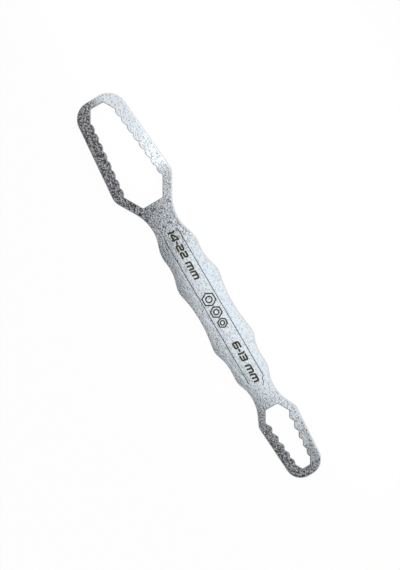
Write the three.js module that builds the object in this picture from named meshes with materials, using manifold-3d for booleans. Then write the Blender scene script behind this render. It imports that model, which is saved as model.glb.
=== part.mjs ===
// A flat double-ended multi-size wrench, cut whole from one steel plate. Each head has a long opening whose
// two sides step through the corners of one hexagon after another, so that it seats nuts of many sizes.
//
// Millimetres, +Z up. The plate lies on its back face, with its long axis along X and its large head at -X.
// The origin is the middle of its length and width, on the back face.
import * as THREE from "three";
import { mergeVertices } from "three/addons/utils/BufferGeometryUtils.js";
import Module from "manifold-3d";

// The plate and its edges
const THICKNESS = 5;
const EDGE_RADIUS = 0.5; // rounding of the outside edges
const MOUTH_CHAMFER = 0.3; // bevel round both mouths of an opening
const NOTCH_RADIUS = 0.6; // in the corners that take a nut's corners
const TOOTH_RADIUS = 0.5; // on the tips of the teeth between two notches

// The nuts
const SIZE_STEP = 1; // from one nut size to the next, across the flats
const FLAT_CLEARANCE = 0.6; // spare room across a nut's flats

// Each head is measured outwards from its neck, the narrowest place between head and grip.
const LARGE_HEAD = {
  neckHalf: 8.3, // half the width of the neck
  neckRadius: 27, // curve from the neck up to the flank
  flankAngle: 30.5, // of the flank between neck and shoulder, in degrees from the axis
  throat: 15, // solid steel from the neck to the opening
  largestNut: 22, // across the flats
  smallestNut: 14,
  firstPitch: 5.8, // along the axis, between the two smallest sizes
  pitchGrowth: 0, // what each later pitch adds to the one before it
  toothAtLargest: 0.95, // how deep a notch lies behind the tips of the teeth
  toothAtSmallest: 0.95,
  armAtLargest: 6.25, // steel beside the largest hexagon's corner
  armAtSmallest: 6.95,
  endWall: 4.4, // steel at the tip
  shoulderRadius: 9,
  tipRadius: 11,
};
const SMALL_HEAD = {
  neckHalf: 7.4,
  neckRadius: 24,
  flankAngle: 25.5,
  throat: 10.25,
  largestNut: 13,
  smallestNut: 8,
  firstPitch: 4.9,
  pitchGrowth: 0.45,
  toothAtLargest: 1.65,
  toothAtSmallest: 0.75,
  armAtLargest: 4.75,
  armAtSmallest: 5.85,
  endWall: 5.25,
  shoulderRadius: 5,
  tipRadius: 9.4,
};

// The edge of the grip, in stretches from the large neck to the small one. Each runs on along the axis by its
// span to a crest or a dip between the fingers, where the grip has the half width given. It leaves and arrives
// level, for these shares of its span: a short share makes a tight crest, and a long one a broad dip.
const GRIP_STRETCHES = [
  { span: 15.8, leave: 0.42, arrive: 0.42, half: 11.45 },
  { span: 7.8, leave: 0.3, arrive: 0.45, half: 10.75 },
  { span: 13.8, leave: 0.45, arrive: 0.27, half: 13.3 },
  { span: 20.1, leave: 0.17, arrive: 0.6, half: 10.85 },
  { span: 20.1, leave: 0.55, arrive: 0.22, half: 12.7 },
  { span: 13.3, leave: 0.24, arrive: 0.55, half: 10 },
  { span: 7.2, leave: 0.45, arrive: 0.3, half: 10.3 },
  { span: 12.9, leave: 0.35, arrive: 0.52, half: SMALL_HEAD.neckHalf },
];

// Fineness of the curves
const CHORD_ERROR = 0.03; // how far an arc may stand off the chords that draw it
const CURVE_STEPS = 8; // chords on each stretch of the grip
const EDGE_STEPS = 3; // facets across the rounding of an edge
const OVERCUT = 2; // how far a cutter stands out of the plate

const NOTCH_SLOPE = Math.tan(Math.PI / 6); // of a hexagon's sides beside its corner, against the axis
const STEEL = new THREE.MeshStandardMaterial({ color: 0xb4bac0, roughness: 0.42, metalness: 1 });

const wasm = await Module();
wasm.setup();

// From centre to corner of the hexagon that takes a nut of this size.
const cornerRadius = (nut) => (nut + FLAT_CLEARANCE) / Math.sqrt(3);

// From centre to flat of that hexagon.
const flatRadius = (nut) => (nut + FLAT_CLEARANCE) / 2;

// A line through two points, as a function from x to y.
function lineThrough(a, b) {
  const slope = (b.y - a.y) / (b.x - a.x);
  return (x) => a.y + slope * (x - a.x);
}

// The upper corner of each nut's hexagon, from the largest nut by the neck to the smallest by the tip.
function notchCorners(head) {
  const count = Math.round((head.largestNut - head.smallestNut) / SIZE_STEP);
  const corners = [];
  let x = head.throat + flatRadius(head.largestNut);
  for (let i = 0; i <= count; i++) {
    corners.push(new THREE.Vector2(x, cornerRadius(head.largestNut - i * SIZE_STEP)));
    x += head.firstPitch + (count - 1 - i) * head.pitchGrowth;
  }
  return corners;
}

// From the neck to the tip of a head.
function headLength(head) {
  return notchCorners(head).at(-1).x + flatRadius(head.smallestNut) + head.endWall;
}

// The tips of the tooth between two neighbouring notches: one on each side of a short land on the tooth line,
// or the single point where the notches' flanks meet if they meet before they reach that line.
function toothTips(wide, narrow, toothLine) {
  const meetX = (wide.x + narrow.x + (wide.y - narrow.y) / NOTCH_SLOPE) / 2;
  const meetY = wide.y - NOTCH_SLOPE * (meetX - wide.x);
  if (meetY >= toothLine(meetX)) return [new THREE.Vector2(meetX, meetY)];
  const lineSlope = toothLine(1) - toothLine(0);
  const wideTipX = wide.x + (wide.y - toothLine(wide.x)) / (NOTCH_SLOPE + lineSlope);
  const narrowTipX = narrow.x - (narrow.y - toothLine(narrow.x)) / (NOTCH_SLOPE - lineSlope);
  return [wideTipX, narrowTipX].map((x) => new THREE.Vector2(x, toothLine(x)));
}

// Points along straight sides, with each inner corner rounded by an arc that touches both of its sides. A corner
// is a point and its radius, which is limited so that no arc takes more than its share of a side.
function roundedPoints(corners) {
  const last = corners.length - 1;
  const points = [corners[0].at];
  for (let i = 1; i < last; i++) {
    const { at, radius } = corners[i];
    const back = corners[i - 1].at.clone().sub(at);
    const ahead = corners[i + 1].at.clone().sub(at);
    const room = Math.min(back.length() / (i > 1 ? 2 : 1), ahead.length() / (i < last - 1 ? 2 : 1));
    const halfAngle = Math.acos(back.normalize().dot(ahead.normalize())) / 2;
    const arcRadius = Math.min(radius, room * Math.tan(halfAngle));
    const tangent = arcRadius / Math.tan(halfAngle);
    const start = at.clone().addScaledVector(back, tangent);
    const end = at.clone().addScaledVector(ahead, tangent);
    const inward = back.clone().add(ahead).normalize();
    const centre = at.clone().addScaledVector(inward, arcRadius / Math.sin(halfAngle));
    const angles = [start, end].map((point) => Math.atan2(point.y - centre.y, point.x - centre.x));
    const clockwise = back.cross(ahead) > 0;
    const arc = new THREE.EllipseCurve(centre.x, centre.y, arcRadius, arcRadius, ...angles, clockwise);
    const chordAngle = 2 * Math.acos(1 - CHORD_ERROR / Math.max(arcRadius, CHORD_ERROR));
    points.push(...arc.getPoints(Math.ceil((Math.PI - 2 * halfAngle) / chordAngle)));
  }
  return [...points, corners[last].at];
}

// The upper half of a head's opening, from the flat by the neck round to the flat at the tip.
function openingEdge(head) {
  const notches = notchCorners(head);
  const [first, last] = [notches[0], notches.at(-1)];
  const toothLine = lineThrough(
    new THREE.Vector2(first.x, first.y - head.toothAtLargest),
    new THREE.Vector2(last.x, last.y - head.toothAtSmallest),
  );
  const neckFlat = first.x - flatRadius(head.largestNut);
  const tipFlat = last.x + flatRadius(head.smallestNut);
  const notch = (x, y) => ({ at: new THREE.Vector2(x, y), radius: NOTCH_RADIUS });
  const corners = [notch(neckFlat, 0), notch(neckFlat, first.y / 2)];
  notches.forEach((corner, i) => {
    corners.push(notch(corner.x, corner.y));
    if (corner === last) return;
    for (const at of toothTips(corner, notches[i + 1], toothLine)) corners.push({ at, radius: TOOTH_RADIUS });
  });
  corners.push(notch(tipFlat, last.y / 2), notch(tipFlat, 0));
  return roundedPoints(corners);
}

// The upper half of a head's outside, from its neck to its tip: a slanted flank, a shoulder beside the largest
// hexagon's corner, a straight arm and a rounded tip.
function headEdge(head) {
  const notches = notchCorners(head);
  const [first, last] = [notches[0], notches.at(-1)];
  const shoulder = new THREE.Vector2(first.x, first.y + head.armAtLargest);
  const armLine = lineThrough(shoulder, new THREE.Vector2(last.x, last.y + head.armAtSmallest));
  const flankSlope = Math.tan(THREE.MathUtils.degToRad(head.flankAngle));
  const flankFoot = shoulder.x - (shoulder.y - head.neckHalf) / flankSlope;
  const tip = headLength(head);
  return roundedPoints([
    { at: new THREE.Vector2(0, head.neckHalf) },
    { at: new THREE.Vector2(flankFoot, head.neckHalf), radius: head.neckRadius },
    { at: shoulder, radius: head.shoulderRadius },
    { at: new THREE.Vector2(tip, armLine(tip)), radius: head.tipRadius },
    { at: new THREE.Vector2(tip, 0) },
  ]);
}

// The upper edge of the grip, from the large neck at x = 0 to the small neck.
function gripEdge() {
  const path = new THREE.Path();
  let from = new THREE.Vector2(0, LARGE_HEAD.neckHalf);
  path.moveTo(from.x, from.y);
  for (const { span, leave, arrive, half } of GRIP_STRETCHES) {
    const to = new THREE.Vector2(from.x + span, half);
    path.bezierCurveTo(from.x + leave * span, from.y, to.x - arrive * span, to.y, to.x, to.y);
    from = to;
  }
  return path.getPoints(CURVE_STEPS);
}

// A closed shape from its upper half, whose two ends lie on the axis.
function mirroredShape(upper) {
  const lower = upper.slice(1, -1).map((p) => new THREE.Vector2(p.x, -p.y));
  return new THREE.Shape([...upper, ...lower.reverse()]);
}

// A geometry as a solid that can be joined and cut.
function solidOf(geometry) {
  geometry.deleteAttribute("normal");
  geometry.deleteAttribute("uv");
  const merged = mergeVertices(geometry, 1e-4);
  const vertProperties = merged.attributes.position.array;
  const triVerts = new Uint32Array(merged.index.array);
  return new wasm.Manifold(new wasm.Mesh({ numProp: 3, vertProperties, triVerts }));
}

// A solid as a geometry, with the flat normals of its facets.
function geometryOf(solid) {
  const { vertProperties, triVerts } = solid.getMesh();
  const geometry = new THREE.BufferGeometry();
  geometry.setAttribute("position", new THREE.BufferAttribute(vertProperties, 3));
  geometry.setIndex(new THREE.BufferAttribute(triVerts, 1));
  const faceted = geometry.toNonIndexed();
  faceted.computeVertexNormals();
  return faceted;
}

// The plate before its openings are cut, with its outside edges rounded.
function blank(outline) {
  const geometry = new THREE.ExtrudeGeometry(outline, {
    depth: THICKNESS - 2 * EDGE_RADIUS,
    bevelThickness: EDGE_RADIUS,
    bevelSize: EDGE_RADIUS,
    bevelOffset: -EDGE_RADIUS,
    bevelSegments: EDGE_STEPS,
  });
  return solidOf(geometry.translate(0, 0, EDGE_RADIUS));
}

// What an opening takes out of the plate: a straight cut right through it, and at each face a mouth that
// widens by the chamfer.
function openingCut(opening) {
  const through = new THREE.ExtrudeGeometry(opening, { depth: THICKNESS + 2 * OVERCUT, bevelEnabled: false });
  const mouth = new THREE.ExtrudeGeometry(opening, {
    depth: OVERCUT,
    bevelThickness: MOUTH_CHAMFER,
    bevelSize: MOUTH_CHAMFER,
    bevelSegments: 1,
  });
  const front = solidOf(mouth.clone().translate(0, 0, THICKNESS));
  const back = solidOf(mouth.clone().translate(0, 0, -OVERCUT));
  return solidOf(through.translate(0, 0, -OVERCUT)).add(front).add(back);
}

// The whole wrench, with both heads set at the ends of the grip and the middle of its length at x = 0.
function wrenchPlate() {
  const gripLength = GRIP_STRETCHES.reduce((sum, { span }) => sum + span, 0);
  const halfLength = (headLength(LARGE_HEAD) + gripLength + headLength(SMALL_HEAD)) / 2;
  const largeNeck = headLength(LARGE_HEAD) - halfLength;
  const smallNeck = halfLength - headLength(SMALL_HEAD);
  const atLargeEnd = (p) => new THREE.Vector2(largeNeck - p.x, p.y);
  const atSmallEnd = (p) => new THREE.Vector2(smallNeck + p.x, p.y);
  const upperEdge = [
    ...headEdge(LARGE_HEAD).map(atLargeEnd).reverse(),
    ...gripEdge().slice(1, -1).map((p) => new THREE.Vector2(largeNeck + p.x, p.y)),
    ...headEdge(SMALL_HEAD).map(atSmallEnd),
  ];
  const openings = [openingEdge(LARGE_HEAD).map(atLargeEnd), openingEdge(SMALL_HEAD).map(atSmallEnd)];
  let solid = blank(mirroredShape(upperEdge));
  for (const edge of openings) solid = solid.subtract(openingCut(mirroredShape(edge)));
  const mesh = new THREE.Mesh(geometryOf(solid), STEEL);
  mesh.name = "wrench_plate";
  return mesh;
}

const wrench = new THREE.Group();
wrench.add(wrenchPlate());

export default wrench;
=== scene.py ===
"""Looks of a flat double-ended multi-size wrench: one steel plate with a stepped opening at each end and
a wavy grip, shot-blasted, bright-plated and marked with its two ranges of sizes. It lies on a white table
under two softboxes. Everything is in metres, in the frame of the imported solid: X along the wrench, Z up
from its lower face."""

import math

import bmesh
import bpy
import numpy as np
from mathutils import Matrix, Vector, geometry


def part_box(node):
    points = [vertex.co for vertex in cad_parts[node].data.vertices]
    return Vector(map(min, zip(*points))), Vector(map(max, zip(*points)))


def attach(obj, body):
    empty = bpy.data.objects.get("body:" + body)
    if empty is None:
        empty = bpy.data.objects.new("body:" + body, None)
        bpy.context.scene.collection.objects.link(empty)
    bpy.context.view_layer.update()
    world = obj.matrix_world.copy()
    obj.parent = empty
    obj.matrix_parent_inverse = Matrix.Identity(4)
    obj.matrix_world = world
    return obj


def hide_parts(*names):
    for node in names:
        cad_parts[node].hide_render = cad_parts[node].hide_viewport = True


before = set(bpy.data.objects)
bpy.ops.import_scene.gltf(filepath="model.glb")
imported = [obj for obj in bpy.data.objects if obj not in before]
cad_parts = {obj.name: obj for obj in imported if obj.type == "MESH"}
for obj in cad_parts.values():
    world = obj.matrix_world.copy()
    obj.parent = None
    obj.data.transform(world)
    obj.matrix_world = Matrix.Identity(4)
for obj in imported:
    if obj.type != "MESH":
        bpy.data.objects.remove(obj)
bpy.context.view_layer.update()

MM = 0.001
NEAR = 0.001 * MM                 # places closer together than this are the same place

# The plate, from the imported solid.
LOW, HIGH = (np.array(corner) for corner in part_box("wrench_plate"))
FACE = HIGH[2]                    # height of the upper face
EDGE_ROUND = 0.5 * MM             # rounding of the outer edge, as on the solid
MOUTH_ROUND = 0.3 * MM            # rounding of the openings' edges, the solid's chamfer
GRIP = (-40 * MM, 68 * MM)        # the grip's ends, where the heads begin

# The skin of the plate.
POINT_STEP = 0.5 * MM             # distance between the points of its mesh
MOUTH_STEP = 0.3 * MM             # the same along the openings, whose teeth are small
EDGE_FACETS = 5                   # steps of its mesh across each rounded edge
WALL_FACETS = 4                   # steps of its mesh down the straight part of each wall
LIP = 0.08 * MM                   # level rim of each face, inside the rounding
FACET_EASE = 0.12 * MM            # how far the facets of the solid's curves are eased
FIELD_MARGIN = 1.05 * MM          # from the outline to the first free points of a face
FIELD_SCATTER = 0.3               # how far these stray from their rows, in steps
FIELD_SEED = 5
SEW_DISTANCE = 0.002 * MM         # points of two rims closer together than this become one
HOLLOW_SIZE = (3 * MM, 8 * MM)    # width of the shallow hollows in the faces
HOLLOW_DEPTH = 0.012 * MM         # depth of a usual one; the deepest are three times as deep
HOLLOW_MARGIN = (1 * MM, 3 * MM)  # from the outline to the first hollows, and to those of full depth
HOLLOW_WAVES = 90                 # plane waves that make up the hollows
HOLLOW_SEED = 11

# The marks, on the upper face.
MARK_HEIGHT = 0.03 * MM           # how far they stand over the face, and half as far as they reach into it
CROSSING_STEP = 0.002 * MM        # between the tops of strokes that cross, so that no two lie in one plane
FIGURE_HEIGHT = 3.25 * MM         # between the middles of the lowest and highest strokes
FIGURE_STROKE = 1.1 * MM          # width of the figures' strokes
FIGURE_BEND = 0.24                # how far from a corner its bend begins, in figure heights
BEND_REACH = 0.45                 # the same at most, in sides; under a half, so that two bends never meet
BEND_POINTS = 7
SLANT = 0.2                       # how far the figures lean to the right, over their height
BASE_LINE = -1.07 * MM            # Y of the figures' lowest strokes
LARGE_MARK_START = -36.2 * MM
SMALL_MARK_START = 37.2 * MM
NUT_MARKS = ((8.4, 7.0), (16.8, 5.9), (24.0, 4.9))  # X place and size across the flats of each, in mm
NUT_BORE = 0.26                   # radius of a nut's bore, in sizes across its flats
BORE_SIDES = 30
NUT_STROKE = 0.8 * MM
BORDER_STROKE = 0.45 * MM
UPPER_BORDER = np.array([(-36.5, 4.6), (-34, 5.0), (61.7, 5.2),
                         (63.2, 3.8), (65.0, 3.4), (66.9, 2.1)]) * MM
LOWER_BORDER = np.array([(-35, -4.5), (-33, -4.9), (62, -4.6)]) * MM

# The table and the softboxes.
TABLE_HALF = 3.0                  # half the table's side
TABLE_GAP = 0.02 * MM             # between the table and the wrench
SOFTBOX_SPREAD = math.radians(120)
SPREAD_GAIN = 2.53                # how many times as much light this spread sends straight down

# The view: a picture of 400 by 570 points, with the wrench aslant and seen from beyond its upper edge.
PICTURE_HEIGHT = 570
FOCAL_POINTS = 2593.5             # focal length in picture points
VIEW_DISTANCE = 1500 * MM
VIEW_TILT = math.radians(3.5)     # lean of the line of sight across the wrench
VIEW_TURN = math.radians(59.83)   # how far the wrench's length points below the picture's level line
VIEW_CENTRE = Vector((-1.43 * MM, -0.42 * MM, FACE / 2))


def linear(code):
    """Turns an sRGB colour such as #c8ccd0 into linear red, green, blue and a full alpha."""
    parts = np.array([int(code[i:i + 2], 16) for i in (1, 3, 5)]) / 255
    parts = np.where(parts <= 0.04045, parts / 12.92, ((parts + 0.055) / 1.055) ** 2.4)
    return (*parts.tolist(), 1.0)


def add(tree, kind, inputs, **settings):
    """Adds one shader node: its settings, then each input, as a fixed value or as a link from another
    node's output."""
    made = tree.nodes.new(kind)
    for name, value in settings.items():
        setattr(made, name, value)
    for name, value in inputs.items():
        if isinstance(value, bpy.types.NodeSocket):
            tree.links.new(value, made.inputs[name])
        else:
            made.inputs[name].default_value = value
    return made


def bare_material(name):
    """A new material with only its output node; returns the material, its tree and the output."""
    material = bpy.data.materials.new(name)
    material.use_nodes = True
    tree = material.node_tree
    tree.nodes.clear()
    return material, tree, tree.nodes.new("ShaderNodeOutputMaterial")


def link_mesh(name, points, faces, material):
    """A new mesh object with one material, in the solid's frame."""
    mesh = bpy.data.meshes.new(name)
    mesh.from_pydata(points, [], faces)
    mesh.materials.append(material)
    thing = bpy.data.objects.new(name, mesh)
    bpy.context.scene.collection.objects.link(thing)
    return thing


def wrench_piece(name, points, faces, material):
    """A mesh object with smooth faces that belongs to the wrench."""
    piece = link_mesh(name, points, faces, material)
    piece.data.shade_smooth()
    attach(piece, "root")
    return piece


def grid_faces(rows, columns, first=0, closed_rows=False, closed_columns=False):
    """The four-sided faces of a grid of points, as an array of indices; a closed grid joins its end to
    its start."""
    row = np.arange(rows if closed_rows else rows - 1)[:, None]
    column = np.arange(columns if closed_columns else columns - 1)[None, :]
    row_next, column_next = (row + 1) % rows, (column + 1) % columns
    corners = [row * columns + column, row_next * columns + column,
               row_next * columns + column_next, row * columns + column_next]
    return first + np.stack(corners, axis=-1).reshape(-1, 4)


# Shapes of the plate.

def half_outline(height, left, right):
    """The upper half of one of the solid's outlines, from left to right: the corner points that its wall
    has at one height between two X places, with Y at or over 0, in order of X, and on the two square ends
    in order of Y."""
    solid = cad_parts["wrench_plate"].data.vertices
    points = np.empty(len(solid) * 3)
    solid.foreach_get("co", points)
    points = points.reshape(-1, 3)
    on_wall = np.abs(points[:, 2] - height) < NEAR
    in_span = (points[:, 0] > left) & (points[:, 0] < right) & (points[:, 1] > -NEAR)
    points = np.unique(points[on_wall & in_span, :2].round(7), axis=0)
    rise = np.where(points[:, 0] < points[:, 0].mean(), points[:, 1], -points[:, 1])
    return points[np.lexsort((rise, points[:, 0]))]


def closed_outline(half, step):
    """The whole outline, anticlockwise, from its upper half: the half mirrored in Y, then the half itself
    run back, with an even number of points at even steps along it and their facets eased by a narrow
    Gaussian."""
    path = np.vstack([half * (1, -1), half[-2::-1]])
    run = np.append(0, np.cumsum(np.hypot(*np.diff(path, axis=0).T)))
    count = 2 * round(run[-1] / step / 2)
    stops = np.arange(count) * run[-1] / count
    loop = np.stack([np.interp(stops, run, path[:, 0]), np.interp(stops, run, path[:, 1])], axis=1)
    ripples = 2 * np.pi * np.fft.fftfreq(count, run[-1] / count)
    keep = np.exp(-0.5 * (ripples * FACET_EASE) ** 2)
    return np.fft.ifft(np.fft.fft(loop, axis=0) * keep[:, None], axis=0).real


def outward(loop):
    """Unit normals of an anticlockwise outline: the chord from two points before to two points after,
    turned clockwise, which is long enough for the normals not to cross behind the tips of the teeth."""
    chord = np.roll(loop, -2, axis=0) - np.roll(loop, 2, axis=0)
    return np.stack([chord[:, 1], -chord[:, 0]], axis=1) / np.hypot(*chord.T)[:, None]


def rounded_wall(loop, into_metal, radius):
    """The wall along an outline, as a grid: a profile carried along it, which starts on a narrow level
    lip of the upper face, turns down through a quarter circle, drops straight, and turns through another
    quarter circle onto the lip of the lower face. The lips keep the shading of the rounding from running
    out over the faces."""
    turn = np.linspace(0, np.pi / 2, EDGE_FACETS + 1)
    inset = radius * (1 - np.sin(turn))
    drop = radius * (1 - np.cos(turn))
    straight = np.linspace(radius, FACE - radius, WALL_FACETS + 1)[1:-1]
    inset = np.concatenate([[radius + LIP], inset, 0 * straight, inset[::-1], [radius + LIP]])
    drop = np.concatenate([[0], drop, straight, FACE - drop[::-1], [FACE]])
    grid = np.empty((len(loop), len(inset), 3))
    grid[:, :, :2] = loop[:, None] + into_metal[:, None] * inset[None, :, None]
    grid[:, :, 2] = FACE - drop
    return grid


def clearance(points, halves):
    """How far points of the face lie from the plate's outline and openings, measured along X or Y,
    whichever is less: over 0 on the metal, and under 0 off it."""
    x, y = points[:, 0], np.abs(points[:, 1])
    outer, large_mouth, small_mouth = (
        np.min([np.interp(x, *half.T) - y, x - half[0, 0], half[-1, 0] - x], axis=0) for half in halves)
    return np.min([outer, -large_mouth, -small_mouth], axis=0)


def face_net(rims, halves):
    """The flat face between the rims, as points and anticlockwise triangles: a Delaunay net through the
    rims and through a field of slightly scattered points between them. The triangles that lie in the
    outer rim alone are kept."""
    scatter = np.random.default_rng(FIELD_SEED)
    x, y = np.meshgrid(np.arange(LOW[0], HIGH[0], POINT_STEP), np.arange(LOW[1], HIGH[1], POINT_STEP))
    field = np.stack([x.ravel(), y.ravel()], axis=1)
    field += scatter.uniform(-FIELD_SCATTER, FIELD_SCATTER, field.shape) * POINT_STEP
    field = field[clearance(field, halves) > FIELD_MARGIN]
    ends = np.cumsum([len(rim) for rim in rims])
    loops = [np.arange(end - len(rim), end).tolist() for rim, end in zip(rims, ends)]
    places = np.vstack(rims + [field]).tolist()
    triangles_in_loops, tolerance = 1, 1e-9
    net = geometry.delaunay_2d_cdt(places, [], loops, triangles_in_loops, tolerance)
    points, _, triangles, _, _, loops_round = net
    on_metal = np.array([numbers == [0] for numbers in loops_round])
    return np.array(points), np.array(triangles)[on_metal]


def hollows(points):
    """The unevenness that the forging left in the faces, from 0 to about 3: a sum of plane waves with
    scattered directions, lengths and phases, of which only the crests count, so that the face is level
    between the hollows."""
    scatter = np.random.default_rng(HOLLOW_SEED)
    heading = scatter.normal(size=(2, HOLLOW_WAVES))
    heading /= np.linalg.norm(heading, axis=0) * scatter.uniform(*HOLLOW_SIZE, HOLLOW_WAVES)
    phase = scatter.uniform(0, 1, HOLLOW_WAVES)
    total = np.cos(2 * np.pi * (points @ heading + phase)).sum(axis=1)
    return np.clip(total / math.sqrt(HOLLOW_WAVES / 2), 0, None)


def plate_skin(face_finish, edge_highlight_finish, wall_shade_finish, mouth_shade_finish):
    """The plate's whole surface: the rounded walls of its outline and openings and its two faces, which
    sink in shallow hollows away from their rims, sewn together along the rims. The faces, the rounded outer
    edges, the straight outer wall between these and the openings have a finish each. The edges' finish
    carries a painted highlight, and those of the wall and the openings carry painted shade."""
    on_face, on_edge, on_wall, in_mouth = range(4)
    edge_bands = [on_edge] * (EDGE_FACETS + 1)
    outer_bands = edge_bands + [on_wall] * WALL_FACETS + edge_bands
    mouth_bands = [in_mouth] * len(outer_bands)
    outer = half_outline(FACE - EDGE_ROUND, 2 * LOW[0], 2 * HIGH[0])
    large_mouth = half_outline(FACE - MOUTH_ROUND, LOW[0], 0)
    small_mouth = half_outline(FACE - MOUTH_ROUND, 0, HIGH[0])
    halves = [outer, large_mouth, small_mouth]

    # The metal lies inside the outer outline, side -1, and outside those of the openings, side 1.
    points, faces, finish, rims = [], [], [], []
    for half, side, radius, step, bands in ((outer, -1, EDGE_ROUND, POINT_STEP, outer_bands),
                                            (large_mouth, 1, MOUTH_ROUND, MOUTH_STEP, mouth_bands),
                                            (small_mouth, 1, MOUTH_ROUND, MOUTH_STEP, mouth_bands)):
        loop = closed_outline(half, step)
        wall = rounded_wall(loop, side * outward(loop), radius)
        quads = grid_faces(*wall.shape[:2], sum(map(len, points)), closed_rows=True)
        points.append(wall.reshape(-1, 3))
        faces += quads[:, ::side].tolist()
        finish += bands * len(loop)
        rims.append(wall[:, 0, :2])

    flat, triangles = face_net(rims, halves)
    begin, full = HOLLOW_MARGIN
    fade = np.clip((clearance(flat, halves) - begin) / (full - begin), 0, 1)
    sink = HOLLOW_DEPTH * fade * fade * (3 - 2 * fade) * hollows(flat)
    for height, side in ((FACE - sink, 1), (sink, -1)):
        faces += (triangles[:, ::side] + sum(map(len, points))).tolist()
        finish += [on_face] * len(triangles)
        points.append(np.column_stack([flat, height]))

    skin = wrench_piece("blasted_plate", np.vstack(points), faces, face_finish)
    for cut_finish_painted_tone in (edge_highlight_finish, wall_shade_finish, mouth_shade_finish):
        skin.data.materials.append(cut_finish_painted_tone)
    skin.data.polygons.foreach_set("material_index", finish)
    sewn = bmesh.new()
    sewn.from_mesh(skin.data)
    bmesh.ops.remove_doubles(sewn, verts=sewn.verts, dist=SEW_DISTANCE)
    sewn.to_mesh(skin.data)
    sewn.free()
    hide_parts("wrench_plate")


# Shapes of the marks.

# Strokes of the figures as corner points, in figure heights right and up from the lower left corner, then
# the distance to the next figure.
FIGURES = {
    "1": ([[(0, -0.15), (0, 1.02), (-0.3, 1.02)]], 0.47),
    "2": ([[(-0.24, 1), (0.86, 1), (0.86, 0.5), (-0.08, 0.5), (-0.08, 0), (1.06, 0)]], 1.42),
    "3": ([[(-0.2, 1), (0.88, 1), (0.88, 0), (-0.12, 0)], [(0, 0.5), (0.88, 0.5)]], 1.43),
    "4": ([[(1, 1), (0.7, 1), (0, 0.45), (0, 0.2), (1.3, 0.2)], [(1, 1.15), (1, -0.15)]], 1.42),
    "6": ([[(1.15, 1), (0, 1), (0, 0), (1.08, 0), (1.08, 0.52), (0, 0.52)]], 1.35),
    "-": ([[(-0.09, 0.46), (0.52, 0.46)]], 0.85),
    "m": ([[(-0.12, -0.15), (-0.12, 0.78), (1.25, 0.78), (1.25, -0.15)],
           [(0.57, 0.78), (0.57, -0.15)]], 1.83),
    " ": ([], 0.66),
}


def turned_corners(corners, radius):
    """A stroke's line with its corners rounded: each inner corner becomes a quadratic curve that starts
    and ends a radius away from it, or short of half-way along a shorter side."""
    corners = np.array(corners, float)
    if len(corners) < 3:
        return corners
    before, at, after = corners[:-2], corners[1:-1], corners[2:]
    back, ahead = before - at, after - at
    back *= np.minimum(radius / np.linalg.norm(back, axis=1), BEND_REACH)[:, None]
    ahead *= np.minimum(radius / np.linalg.norm(ahead, axis=1), BEND_REACH)[:, None]
    share = np.linspace(0, 1, BEND_POINTS)[None, :, None]
    bends = at[:, None] + back[:, None] * (1 - share) ** 2 + ahead[:, None] * share ** 2
    return np.vstack([corners[:1], bends.reshape(-1, 2), corners[-1:]])


def stroke_bar(line, width, low, high):
    """A flat bar along a line, as points and faces: a rectangle carried along it, square to the line at
    each point and stretched on the bends by one over the cosine of half the bend, with a face over each
    end."""
    leg = np.diff(line, axis=0)
    leg /= np.linalg.norm(leg, axis=1)[:, None]
    leg_in, leg_out = np.vstack([leg[:1], leg]), np.vstack([leg, leg[-1:]])
    along = (leg_in + leg_out) / (1 + (leg_in * leg_out).sum(axis=1))[:, None]
    aside = np.stack([-along[:, 1], along[:, 0]], axis=1) * width / 2
    left, right = line + aside, line - aside
    ring = [np.column_stack([side, np.full(len(line), height)])
            for side, height in ((left, high), (left, low), (right, low), (right, high))]
    faces = grid_faces(len(line), 4, closed_columns=True).tolist()
    last = 4 * len(line) - 4
    faces += [[0, 1, 2, 3], [last + 3, last + 2, last + 1, last]]
    return np.stack(ring, axis=1).reshape(-1, 3), faces


def mark(name, lines, width, material):
    """Bars along lines of the upper face, as one piece. Their tops lie at three heights by turns."""
    points, faces = [], []
    for number, line in enumerate(lines):
        top = FACE + MARK_HEIGHT + number % 3 * CROSSING_STEP
        bar, sides = stroke_bar(line, width, FACE - 2 * MARK_HEIGHT, top)
        faces += (np.array(sides) + sum(map(len, points))).tolist()
        points.append(bar)
    wrench_piece(name, np.vstack(points), faces, material)


def figure_lines(text, start):
    """The lines of a row of figures on the base line from an X place on, slanted by a shift of X with
    height."""
    lines, place = [], 0
    for letter in text:
        strokes, advance = FIGURES[letter]
        lines += [turned_corners(stroke, FIGURE_BEND) + (place, 0) for stroke in strokes]
        place += advance
    slanted = [np.column_stack([line[:, 0] + SLANT * line[:, 1], line[:, 1]]) for line in lines]
    return [line * FIGURE_HEIGHT + (start, BASE_LINE) for line in slanted]


def polygon_line(centre, radius, sides):
    """A closed line with even sides: corners at even angles on a circle, from the one on its right round
    to itself."""
    turn = np.linspace(0, 2 * np.pi, sides + 1)
    return centre + radius * np.stack([np.cos(turn), np.sin(turn)], axis=1)


def nut_lines(place, across_flats):
    """A hexagon nut at an X place: its outline with the flats above and below, and its bore."""
    centre = np.array([place, 0])
    return [polygon_line(centre, across_flats / math.sqrt(3), 6),
            polygon_line(centre, NUT_BORE * across_flats, BORE_SIDES)]


# Materials.

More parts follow.
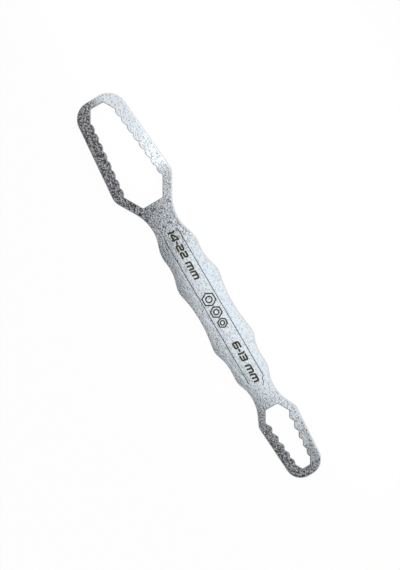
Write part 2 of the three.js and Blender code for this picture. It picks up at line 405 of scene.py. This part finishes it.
def blasted_steel():
    """Mild steel, shot-blasted and bright nickel-plated: a pale, faintly blue metal whose tiny dents
    catch dark and bright surroundings side by side, so that it sparkles. The dents are deeper on the
    heads than on the grip, and flecks of dark scale are left about the large neck and on the small
    head."""
    material, tree, output = bare_material("blasted_nickel_plated_steel")
    place = add(tree, "ShaderNodeTexCoord", {}).outputs["Object"]
    along = add(tree, "ShaderNodeSeparateXYZ", {"Vector": place}).outputs["X"]
    large_head = add(tree, "ShaderNodeMapRange",
                     {"Value": along, "From Min": GRIP[0] + 22 * MM, "From Max": GRIP[0] - 2 * MM},
                     interpolation_type="SMOOTHSTEP").outputs["Result"]
    small_head = add(tree, "ShaderNodeMapRange",
                     {"Value": along, "From Min": GRIP[1] - 4 * MM, "From Max": GRIP[1] + 30 * MM,
                      "To Max": 0.9},
                     interpolation_type="SMOOTHSTEP").outputs["Result"]
    head = add(tree, "ShaderNodeMath", {0: large_head, 1: small_head}, operation="MAXIMUM").outputs["Value"]

    # Dents about 1 mm wide, with grit half as wide between them. Real shot leaves dents of about 0.3 mm,
    # finer than a point of the picture, so they are drawn this coarse to show.
    dent = add(tree, "ShaderNodeTexNoise",
               {"Vector": place, "Scale": 1 / (1.05 * MM), "Detail": 2.0, "Roughness": 0.6}).outputs["Fac"]
    grit = add(tree, "ShaderNodeTexNoise",
               {"Vector": place, "Scale": 1 / (0.55 * MM), "Detail": 1.0, "Roughness": 0.5}).outputs["Fac"]
    dent_height = add(tree, "ShaderNodeMapRange", {"Value": dent, "From Min": 0.32, "From Max": 0.50},
                      interpolation_type="SMOOTHSTEP").outputs["Result"]
    relief = add(tree, "ShaderNodeMix", {"Factor": 0.35, "A": dent_height, "B": grit},
                 data_type="FLOAT").outputs["Result"]
    depth = add(tree, "ShaderNodeMapRange",
                {"Value": head, "To Min": 0.14, "To Max": 0.58}).outputs["Result"]
    bump = add(tree, "ShaderNodeBump", {"Height": relief, "Strength": depth, "Distance": 0.4 * MM})

    # Flecks of scale about 1 mm wide. W takes them from another part of the noise than the dents.
    neck_start = add(tree, "ShaderNodeMapRange",
                     {"Value": along, "From Min": GRIP[0] - 38 * MM, "From Max": GRIP[0] - 16 * MM},
                     interpolation_type="SMOOTHSTEP").outputs["Result"]
    neck_end = add(tree, "ShaderNodeMapRange",
                   {"Value": along, "From Min": GRIP[0] + 24 * MM, "From Max": GRIP[0] - 2 * MM},
                   interpolation_type="SMOOTHSTEP").outputs["Result"]
    neck = add(tree, "ShaderNodeMath", {0: neck_start, 1: neck_end}, operation="MULTIPLY").outputs["Value"]
    flecked = add(tree, "ShaderNodeMath", {0: neck, 1: small_head}, operation="MAXIMUM").outputs["Value"]
    speckle = add(tree, "ShaderNodeTexNoise",
                  {"Vector": place, "W": 4.0, "Scale": 1 / (0.95 * MM), "Detail": 1.0},
                  noise_dimensions="4D").outputs["Fac"]
    fleck = add(tree, "ShaderNodeMapRange", {"Value": speckle, "From Min": 0.47, "From Max": 0.33},
                interpolation_type="SMOOTHSTEP").outputs["Result"]
    scale = add(tree, "ShaderNodeMath", {0: flecked, 1: fleck}, operation="MULTIPLY").outputs["Value"]

    # The plating is painted a little darker in the dents, which is painted shade in them, and the scale is
    # grey.
    plating_with_dent_shade = add(tree, "ShaderNodeMix",
                  {"Factor": dent_height, 6: linear("#cfcdd3"), 7: linear("#e9e7eb")},
                  data_type="RGBA").outputs[2]
    colour = add(tree, "ShaderNodeMix", {"Factor": scale, 6: plating_with_dent_shade, 7: linear("#77747d")},
                 data_type="RGBA").outputs[2]
    metal = add(tree, "ShaderNodeBsdfPrincipled",
                {"Base Color": colour, "Metallic": 1.0, "Roughness": 0.23,
                 "Normal": bump.outputs["Normal"]})
    tree.links.new(metal.outputs["BSDF"], output.inputs["Surface"])
    return material


def cut_steel_painted_tone(name, dark, pale):
    """A side of the plate, ground, sheared or punched and then nickel-plated: duller than the faces, with
    upright lines of the cut between a dark and a pale tone. The two tones of each side are painted light:
    paler on the rounded edges as a painted highlight, darker on the wall and in the openings as painted
    shade. The lines are about 0.7 mm wide and drawn out along Z. Real ones are finer, and these are drawn
    as coarse as they need to show."""
    material, tree, output = bare_material(name)
    place = add(tree, "ShaderNodeTexCoord", {}).outputs["Object"]
    upright = add(tree, "ShaderNodeMapping", {"Vector": place, "Scale": (1, 1, 0.15)}).outputs["Vector"]
    shear = add(tree, "ShaderNodeTexNoise",
                {"Vector": upright, "Scale": 1 / (0.7 * MM), "Detail": 2.0}).outputs["Fac"]
    colour = add(tree, "ShaderNodeMix", {"Factor": shear, 6: linear(dark), 7: linear(pale)},
                 data_type="RGBA").outputs[2]
    metal = add(tree, "ShaderNodeBsdfPrincipled",
                {"Base Color": colour, "Metallic": 1.0, "Roughness": 0.45})
    tree.links.new(metal.outputs["BSDF"], output.inputs["Surface"])
    return material


def burnt_mark(name, code):
    """A laser mark: the plating burnt to a dull dark oxide, thin enough for the blasted grain to show
    through it, which is drawn 0.5 mm wide, as coarse as the grit of the face."""
    material, tree, output = bare_material(name)
    place = add(tree, "ShaderNodeTexCoord", {}).outputs["Object"]
    grain = add(tree, "ShaderNodeTexNoise",
                {"Vector": place, "Scale": 1 / (0.5 * MM), "Detail": 2.0}).outputs["Fac"]
    thin = add(tree, "ShaderNodeMapRange",
               {"Value": grain, "From Min": 0.5, "From Max": 0.75, "To Max": 0.2}).outputs["Result"]
    colour = add(tree, "ShaderNodeMix", {"Factor": thin, 6: linear(code), 7: linear("#9a9a96")},
                 data_type="RGBA").outputs[2]
    oxide = add(tree, "ShaderNodeBsdfPrincipled", {"Base Color": colour, "Roughness": 0.6})
    tree.links.new(oxide.outputs["BSDF"], output.inputs["Surface"])
    return material


def white_table():
    """Matt white laminate: it shows plain white to the eye and in the metal, and takes a trace of the
    wrench's shadow."""
    material, tree, output = bare_material("matt_white_laminate")
    ray = add(tree, "ShaderNodeLightPath", {}).outputs
    seen = add(tree, "ShaderNodeMath", {0: ray["Is Camera Ray"], 1: ray["Is Glossy Ray"]},
               operation="MAXIMUM").outputs["Value"]
    seen = add(tree, "ShaderNodeMath", {0: seen, 1: ray["Is Transmission Ray"]},
               operation="MAXIMUM").outputs["Value"]
    share = add(tree, "ShaderNodeMath", {0: seen, 1: 0.95}, operation="MULTIPLY").outputs["Value"]
    matt = add(tree, "ShaderNodeBsdfDiffuse", {"Color": linear("#f4f4f4")}).outputs["BSDF"]
    glow = add(tree, "ShaderNodeEmission", {"Color": (1, 1, 1, 1), "Strength": 1.02}).outputs["Emission"]
    both = add(tree, "ShaderNodeMixShader", {0: share, 1: matt, 2: glow})
    tree.links.new(both.outputs["Shader"], output.inputs["Surface"])
    return material


# The room.

def softbox(name, shape, centre, width, depth, turn, radiance):
    """A flat panel that faces down close over the table, and that only the metal and the table see; its
    centre is given by X, Y and its height over the wrench."""
    panel = bpy.data.lights.new(name, "AREA")
    panel.shape = shape
    panel.size = width
    panel.size_y = depth
    panel.spread = SOFTBOX_SPREAD
    area = width * depth * (math.pi / 4 if shape == "ELLIPSE" else 1)
    panel.energy = radiance * math.pi * area / SPREAD_GAIN
    panel.color = linear("#effcfe")[:3]
    lamp = bpy.data.objects.new(name, panel)
    lamp.location = centre + Vector((0, 0, FACE))
    lamp.rotation_euler.z = turn
    lamp.visible_camera = False
    bpy.context.scene.collection.objects.link(lamp)


def room_walls():
    """What the metal sees round it: a white backdrop up to 13 degrees over the table, which fades out at
    24, and a grey ceiling with a dark gap. The gap lies 20 degrees from overhead on the near side, so
    that the lower half of the wrench mirrors it and stays dark."""
    world = bpy.data.worlds.new("studio")
    bpy.context.scene.world = world
    world.use_nodes = True
    tree = world.node_tree
    tree.nodes.clear()
    toward = add(tree, "ShaderNodeTexCoord", {}).outputs["Generated"]
    height = add(tree, "ShaderNodeSeparateXYZ", {"Vector": toward}).outputs["Z"]
    near_gap = add(tree, "ShaderNodeVectorMath", {0: toward, 1: (0, -0.34, 0.94)},
                   operation="DOT_PRODUCT").outputs["Value"]
    ceiling = add(tree, "ShaderNodeMapRange",
                  {"Value": near_gap, "From Min": 0.92, "From Max": 0.6, "To Min": 0.06, "To Max": 0.55},
                  interpolation_type="SMOOTHSTEP").outputs["Result"]
    backdrop = add(tree, "ShaderNodeMapRange",
                   {"Value": height, "From Min": 0.4, "From Max": 0.22}).outputs["Result"]
    light = add(tree, "ShaderNodeMath", {0: ceiling, 1: backdrop}, operation="MAXIMUM").outputs["Value"]
    glow = add(tree, "ShaderNodeBackground", {"Color": (1, 1, 1, 1), "Strength": light})
    add(tree, "ShaderNodeOutputWorld", {"Surface": glow.outputs["Background"]})


def place_camera():
    """The camera looks down on the wrench from a little beyond its upper edge, turned so that the wrench
    runs from the upper left of the picture to the lower right."""
    camera = bpy.data.cameras.new("camera")
    camera.sensor_fit = "VERTICAL"
    camera.lens = camera.sensor_height * FOCAL_POINTS / PICTURE_HEIGHT
    camera.clip_start = 10 * MM
    back = Vector((0, math.sin(VIEW_TILT), math.cos(VIEW_TILT)))
    along = Vector((1, 0, 0))
    across = back.cross(along)
    right = along * math.cos(VIEW_TURN) + across * math.sin(VIEW_TURN)
    viewer = bpy.data.objects.new("camera", camera)
    viewer.matrix_world = Matrix((right, back.cross(right), back)).transposed().to_4x4()
    viewer.location = VIEW_CENTRE + back * VIEW_DISTANCE
    bpy.context.scene.collection.objects.link(viewer)
    bpy.context.scene.camera = viewer
    bpy.context.scene.view_settings.view_transform = "Standard"


# The wrench: blasted faces with ground edges in a painted highlight, a sheared wall and punched openings in
# painted shade, and the marks on it.
plate_skin(blasted_steel(),
           cut_steel_painted_tone("ground_plated_steel_painted_highlight", "#e2e0e5", "#f2f1f4"),
           cut_steel_painted_tone("sheared_plated_steel_painted_shade", "#b2b0b7", "#d6d4da"),
           cut_steel_painted_tone("punched_plated_steel_painted_shade", "#8d8b92", "#bab8bf"))
dark_oxide = burnt_mark("burnt_dark_oxide", "#463c29")
grey_oxide = burnt_mark("burnt_grey_oxide", "#474c4e")
mark("large_size_mark", figure_lines("14-22 mm", LARGE_MARK_START), FIGURE_STROKE, dark_oxide)
mark("small_size_mark", figure_lines("6-13 mm", SMALL_MARK_START), FIGURE_STROKE, dark_oxide)
nuts = [line for place, size in NUT_MARKS for line in nut_lines(place * MM, size * MM)]
mark("nut_marks", nuts, NUT_STROKE, dark_oxide)
mark("border_lines", [UPPER_BORDER, LOWER_BORDER], BORDER_STROKE, grey_oxide)

# The table, the light and the view.
table_corners = [(x * TABLE_HALF, y * TABLE_HALF, -TABLE_GAP)
                 for x, y in ((-1, -1), (1, -1), (1, 1), (-1, 1))]
table = link_mesh("table", table_corners, [(0, 1, 2, 3)], white_table())
softbox("softbox_large_end", "RECTANGLE", Vector((-154.3, 76.1, 17)) * MM,
        width=169 * MM, depth=150 * MM, turn=-0.05, radiance=1.05)
softbox("softbox_grip", "ELLIPSE", Vector((23.6, 76.4, 70)) * MM,
        width=300 * MM, depth=180 * MM, turn=0, radiance=1.19)
room_walls()
place_camera()
